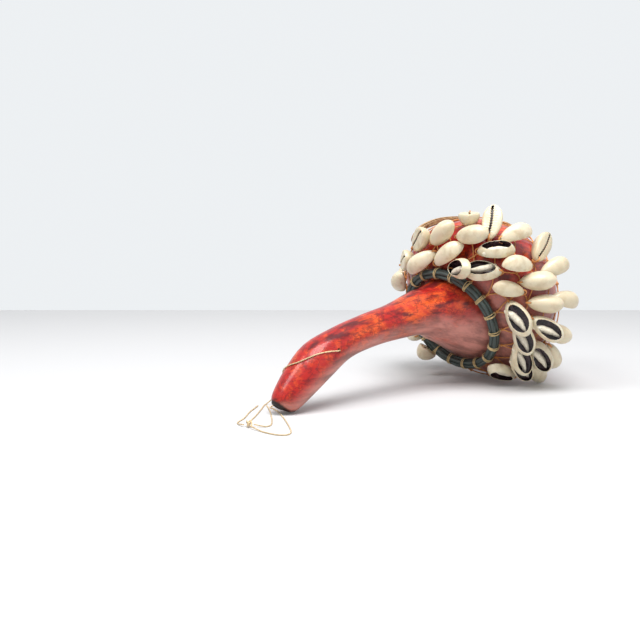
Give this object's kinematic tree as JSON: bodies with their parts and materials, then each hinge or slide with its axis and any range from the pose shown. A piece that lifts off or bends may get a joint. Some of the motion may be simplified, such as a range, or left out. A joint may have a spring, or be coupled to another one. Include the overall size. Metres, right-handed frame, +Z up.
{
  "type": "shekere",
  "caption": "Gourd rattle with a curved handle, a knotted cord net round its bulb and cowrie shells tied to the net, lying on its side.",
  "frame": {"origin": "middle of the footprint of the instrument at rest, on the floor", "axes": "+X from the handle to the bulb, +Y to the far side, +Z up"},
  "size_m": [0.2346, 0.1232, 0.1018],
  "materials": {
    "gourd": "lacquered, mottled deep red and orange",
    "ring": "dark plant fibre, matt",
    "lashing": "cream thread",
    "net_cord": "orange-tan twisted thread",
    "tie_thread": "cream thread",
    "raffia": "brown raffia",
    "thread": "cream twisted thread",
    "shell": "ivory, glazed shell"
  },
  "bodies": {
    "gourd": {"gourd": "gourd", "handle_cord": "thread", "hanging_loop": "thread", "loop_end": "thread", "loop_knot": "thread"},
    "net": {"neck_ring": "ring", "ring_lashings": "lashing", "net": "net_cord", "tie_loops": "tie_thread", "tail": "raffia", "tail_binding": "net_cord"},
    "shell_01": {"cowrie_01": "shell"},
    "shell_02": {"cowrie_02": "shell"},
    "shell_03": {"cowrie_03": "shell"},
    "shell_04": {"cowrie_04": "shell"},
    "shell_05": {"cowrie_05": "shell"},
    "shell_06": {"cowrie_06": "shell"},
    "shell_07": {"cowrie_07": "shell"},
    "shell_08": {"cowrie_08": "shell"},
    "shell_09": {"cowrie_09": "shell"},
    "shell_10": {"cowrie_10": "shell"},
    "shell_11": {"cowrie_11": "shell"},
    "shell_12": {"cowrie_12": "shell"},
    "shell_13": {"cowrie_13": "shell"},
    "shell_14": {"cowrie_14": "shell"},
    "shell_15": {"cowrie_15": "shell"},
    "shell_16": {"cowrie_16": "shell"},
    "shell_17": {"cowrie_17": "shell"},
    "shell_18": {"cowrie_18": "shell"},
    "shell_19": {"cowrie_19": "shell"},
    "shell_20": {"cowrie_20": "shell"},
    "shell_21": {"cowrie_21": "shell"},
    "shell_22": {"cowrie_22": "shell"},
    "shell_23": {"cowrie_23": "shell"},
    "shell_24": {"cowrie_24": "shell"},
    "shell_25": {"cowrie_25": "shell"},
    "shell_26": {"cowrie_26": "shell"},
    "shell_27": {"cowrie_27": "shell"},
    "shell_28": {"cowrie_28": "shell"},
    "shell_29": {"cowrie_29": "shell"},
    "shell_30": {"cowrie_30": "shell"},
    "shell_31": {"cowrie_31": "shell"},
    "shell_32": {"cowrie_32": "shell"},
    "shell_33": {"cowrie_33": "shell"},
    "shell_34": {"cowrie_34": "shell"},
    "shell_35": {"cowrie_35": "shell"},
    "shell_36": {"cowrie_36": "shell"},
    "shell_37": {"cowrie_37": "shell"},
    "shell_38": {"cowrie_38": "shell"},
    "shell_39": {"cowrie_39": "shell"},
    "shell_40": {"cowrie_40": "shell"},
    "shell_41": {"cowrie_41": "shell"},
    "shell_42": {"cowrie_42": "shell"}
  },
  "joints": [
    {"name": "net_twist", "type": "hinge", "parent": "gourd", "child": "net", "pos_m": [0.0465, 0.00096, 0.04612], "axis": [0.9063, 0, 0.4226], "range_deg": [-15, 15]},
    {"name": "swing_01", "type": "hinge", "parent": "net", "child": "shell_01", "pos_m": [0.01654, 0.02089, 0.07724], "axis": [-0.3268, -0.4067, -0.8531], "range_deg": [0, 30]},
    {"name": "swing_02", "type": "hinge", "parent": "net", "child": "shell_02", "pos_m": [0.01452, 0.00489, 0.08074], "axis": [-0.25, -0.5555, -0.793], "range_deg": [0, 16]},
    {"name": "swing_03", "type": "hinge", "parent": "net", "child": "shell_03", "pos_m": [0.03157, -0.00727, 0.09651], "axis": [-0.6102, 0.7919, -0.0235], "range_deg": [0, 30]},
    {"name": "swing_04", "type": "hinge", "parent": "net", "child": "shell_04", "pos_m": [0.02394, -0.02769, 0.08428], "axis": [0.5643, -0.8196, -0.0987], "range_deg": [0, 18]},
    {"name": "swing_05", "type": "hinge", "parent": "net", "child": "shell_05", "pos_m": [0.01688, -0.01165, 0.08424], "axis": [-0.3602, -0.1722, -0.9169], "range_deg": [0, 30]},
    {"name": "swing_06", "type": "hinge", "parent": "net", "child": "shell_06", "pos_m": [0.01279, 0.00034, 0.06955], "axis": [-0.0288, -0.5608, -0.8275], "range_deg": [0, 6]},
    {"name": "swing_07", "type": "hinge", "parent": "net", "child": "shell_07", "pos_m": [0.01326, 0.00236, 0.07488], "axis": [0.1172, 0.5973, 0.7934], "range_deg": [0, 30]},
    {"name": "swing_08", "type": "hinge", "parent": "net", "child": "shell_08", "pos_m": [0.02036, 0.03383, 0.06659], "axis": [-0.1833, -0.2415, -0.9529], "range_deg": [0, 1.5]},
    {"name": "swing_09", "type": "hinge", "parent": "net", "child": "shell_09", "pos_m": [0.02338, 0.03745, 0.05243], "axis": [-0.1437, -0.5425, -0.8277], "range_deg": [0, 30]},
    {"name": "swing_10", "type": "hinge", "parent": "net", "child": "shell_10", "pos_m": [0.01357, -0.01042, 0.06722], "axis": [-0.0011, -0.0502, -0.9987], "range_deg": [0, 8]},
    {"name": "swing_11", "type": "hinge", "parent": "net", "child": "shell_11", "pos_m": [0.01864, -0.02483, 0.07696], "axis": [-0.1949, -0.1687, -0.9662], "range_deg": [0, 1.5]},
    {"name": "swing_12", "type": "hinge", "parent": "net", "child": "shell_12", "pos_m": [0.02291, -0.03628, 0.06609], "axis": [0.0749, 0.0178, 0.997], "range_deg": [0, 3]},
    {"name": "swing_13", "type": "hinge", "parent": "net", "child": "shell_13", "pos_m": [0.02817, -0.03265, 0.08337], "axis": [-0.0487, -0.711, -0.7015], "range_deg": [0, 30]},
    {"name": "swing_14", "type": "hinge", "parent": "net", "child": "shell_14", "pos_m": [0.04275, -0.04507, 0.07252], "axis": [0.665, -0.3983, -0.6318], "range_deg": [0, 30]},
    {"name": "swing_15", "type": "hinge", "parent": "net", "child": "shell_15", "pos_m": [0.03591, -0.04623, 0.06887], "axis": [0.1301, 0.4071, 0.9041], "range_deg": [0, 18]},
    {"name": "swing_16", "type": "hinge", "parent": "net", "child": "shell_16", "pos_m": [0.03071, -0.04568, 0.05548], "axis": [0.088, -0.1524, 0.9844], "range_deg": [0, 30]},
    {"name": "swing_17", "type": "hinge", "parent": "net", "child": "shell_17", "pos_m": [0.04277, -0.049, 0.06444], "axis": [0.2318, -0.3563, -0.9051], "range_deg": [0, 6]},
    {"name": "swing_18", "type": "hinge", "parent": "net", "child": "shell_18", "pos_m": [0.02988, -0.04492, 0.06091], "axis": [0.0131, -0.0895, -0.9959], "range_deg": [0, 20]},
    {"name": "swing_19", "type": "hinge", "parent": "net", "child": "shell_19", "pos_m": [0.03384, -0.04764, 0.04967], "axis": [0.0285, 0.1559, -0.9874], "range_deg": [0, 30]},
    {"name": "swing_20", "type": "hinge", "parent": "net", "child": "shell_20", "pos_m": [0.04829, -0.05215, 0.05105], "axis": [-0.1734, -0.1169, -0.9779], "range_deg": [0, 8]},
    {"name": "swing_21", "type": "hinge", "parent": "net", "child": "shell_21", "pos_m": [0.02671, -0.03988, 0.04981], "axis": [-0.4008, 0.7511, -0.5246], "range_deg": [0, 30]},
    {"name": "swing_22", "type": "hinge", "parent": "net", "child": "shell_22", "pos_m": [0.03196, -0.04198, 0.03934], "axis": [-0.5023, 0.7991, -0.3304], "range_deg": [0, 4]},
    {"name": "swing_23", "type": "hinge", "parent": "net", "child": "shell_23", "pos_m": [0.03713, -0.04775, 0.04081], "axis": [-0.2595, 0.5093, -0.8206], "range_deg": [0, 30]},
    {"name": "swing_24", "type": "hinge", "parent": "net", "child": "shell_24", "pos_m": [0.04566, -0.05052, 0.03571], "axis": [-0.3153, 0.3966, -0.8621], "range_deg": [0, 14]},
    {"name": "swing_25", "type": "hinge", "parent": "net", "child": "shell_25", "pos_m": [0.0365, -0.03857, 0.02728], "axis": [-0.4967, 0.8363, -0.232], "range_deg": [0, 3]},
    {"name": "swing_26", "type": "hinge", "parent": "net", "child": "shell_26", "pos_m": [0.04348, -0.04511, 0.02721], "axis": [-0.5944, 0.6891, -0.4145], "range_deg": [0, 1.5]},
    {"name": "swing_27", "type": "hinge", "parent": "net", "child": "shell_27", "pos_m": [0.0528, -0.04698, 0.02439], "axis": [-0.7329, 0.3896, -0.5577], "range_deg": [0, 2]},
    {"name": "swing_28", "type": "hinge", "parent": "net", "child": "shell_28", "pos_m": [0.03934, -0.03386, 0.0197], "axis": [-0.2873, 0.8801, -0.3779], "range_deg": [0, 2]},
    {"name": "swing_29", "type": "hinge", "parent": "net", "child": "shell_29", "pos_m": [0.05201, -0.03673, 0.01254], "axis": [-0.4804, 0.7637, -0.4313], "range_deg": [0, 3]},
    {"name": "swing_30", "type": "hinge", "parent": "net", "child": "shell_30", "pos_m": [0.05176, -0.02464, 0.00508], "axis": [0.0078, -0.9104, 0.4138], "range_deg": [0, 18]},
    {"name": "swing_31", "type": "hinge", "parent": "net", "child": "shell_31", "pos_m": [0.04349, 0.03035, 0.01229], "axis": [0.1622, -0.7975, -0.5811], "range_deg": [0, 30]},
    {"name": "swing_32", "type": "hinge", "parent": "net", "child": "shell_32", "pos_m": [0.03701, 0.03689, 0.02321], "axis": [-0.4366, 0.354, 0.8271], "range_deg": [0, 30]},
    {"name": "swing_33", "type": "hinge", "parent": "net", "child": "shell_33", "pos_m": [0.03139, 0.04045, 0.03526], "axis": [-0.3748, 0.1605, 0.9131], "range_deg": [0, 30]},
    {"name": "swing_34", "type": "hinge", "parent": "net", "child": "shell_34", "pos_m": [0.06001, 0.03852, 0.01097], "axis": [-0.4594, 0.6684, 0.585], "range_deg": [0, 30]},
    {"name": "swing_35", "type": "hinge", "parent": "net", "child": "shell_35", "pos_m": [0.05362, 0.04911, 0.02467], "axis": [-0.383, 0.4226, 0.8214], "range_deg": [0, 30]},
    {"name": "swing_36", "type": "hinge", "parent": "net", "child": "shell_36", "pos_m": [0.04609, 0.05388, 0.04082], "axis": [-0.497, 0.067, 0.8651], "range_deg": [0, 30]},
    {"name": "swing_37", "type": "hinge", "parent": "net", "child": "shell_37", "pos_m": [0.03832, 0.05227, 0.05748], "axis": [-0.3319, -0.2386, 0.9126], "range_deg": [0, 30]},
    {"name": "swing_38", "type": "hinge", "parent": "net", "child": "shell_38", "pos_m": [0.08452, 0.02119, 0.01598], "axis": [-0.1786, 0.9063, 0.383], "range_deg": [0, 30]},
    {"name": "swing_39", "type": "hinge", "parent": "net", "child": "shell_39", "pos_m": [0.07779, 0.04017, 0.03042], "axis": [-0.3462, 0.5736, 0.7424], "range_deg": [0, 30]},
    {"name": "swing_40", "type": "hinge", "parent": "net", "child": "shell_40", "pos_m": [0.06795, 0.04864, 0.05152], "axis": [-0.4889, 0.125, 0.8633], "range_deg": [0, 30]},
    {"name": "swing_41", "type": "hinge", "parent": "net", "child": "shell_41", "pos_m": [0.05764, 0.04434, 0.07363], "axis": [-0.3038, -0.4558, 0.8366], "range_deg": [0, 30]},
    {"name": "swing_42", "type": "hinge", "parent": "net", "child": "shell_42", "pos_m": [0.09453, -0.00247, 0.02525], "axis": [0.0368, 0.9962, -0.079], "range_deg": [0, 30]}
  ]
}
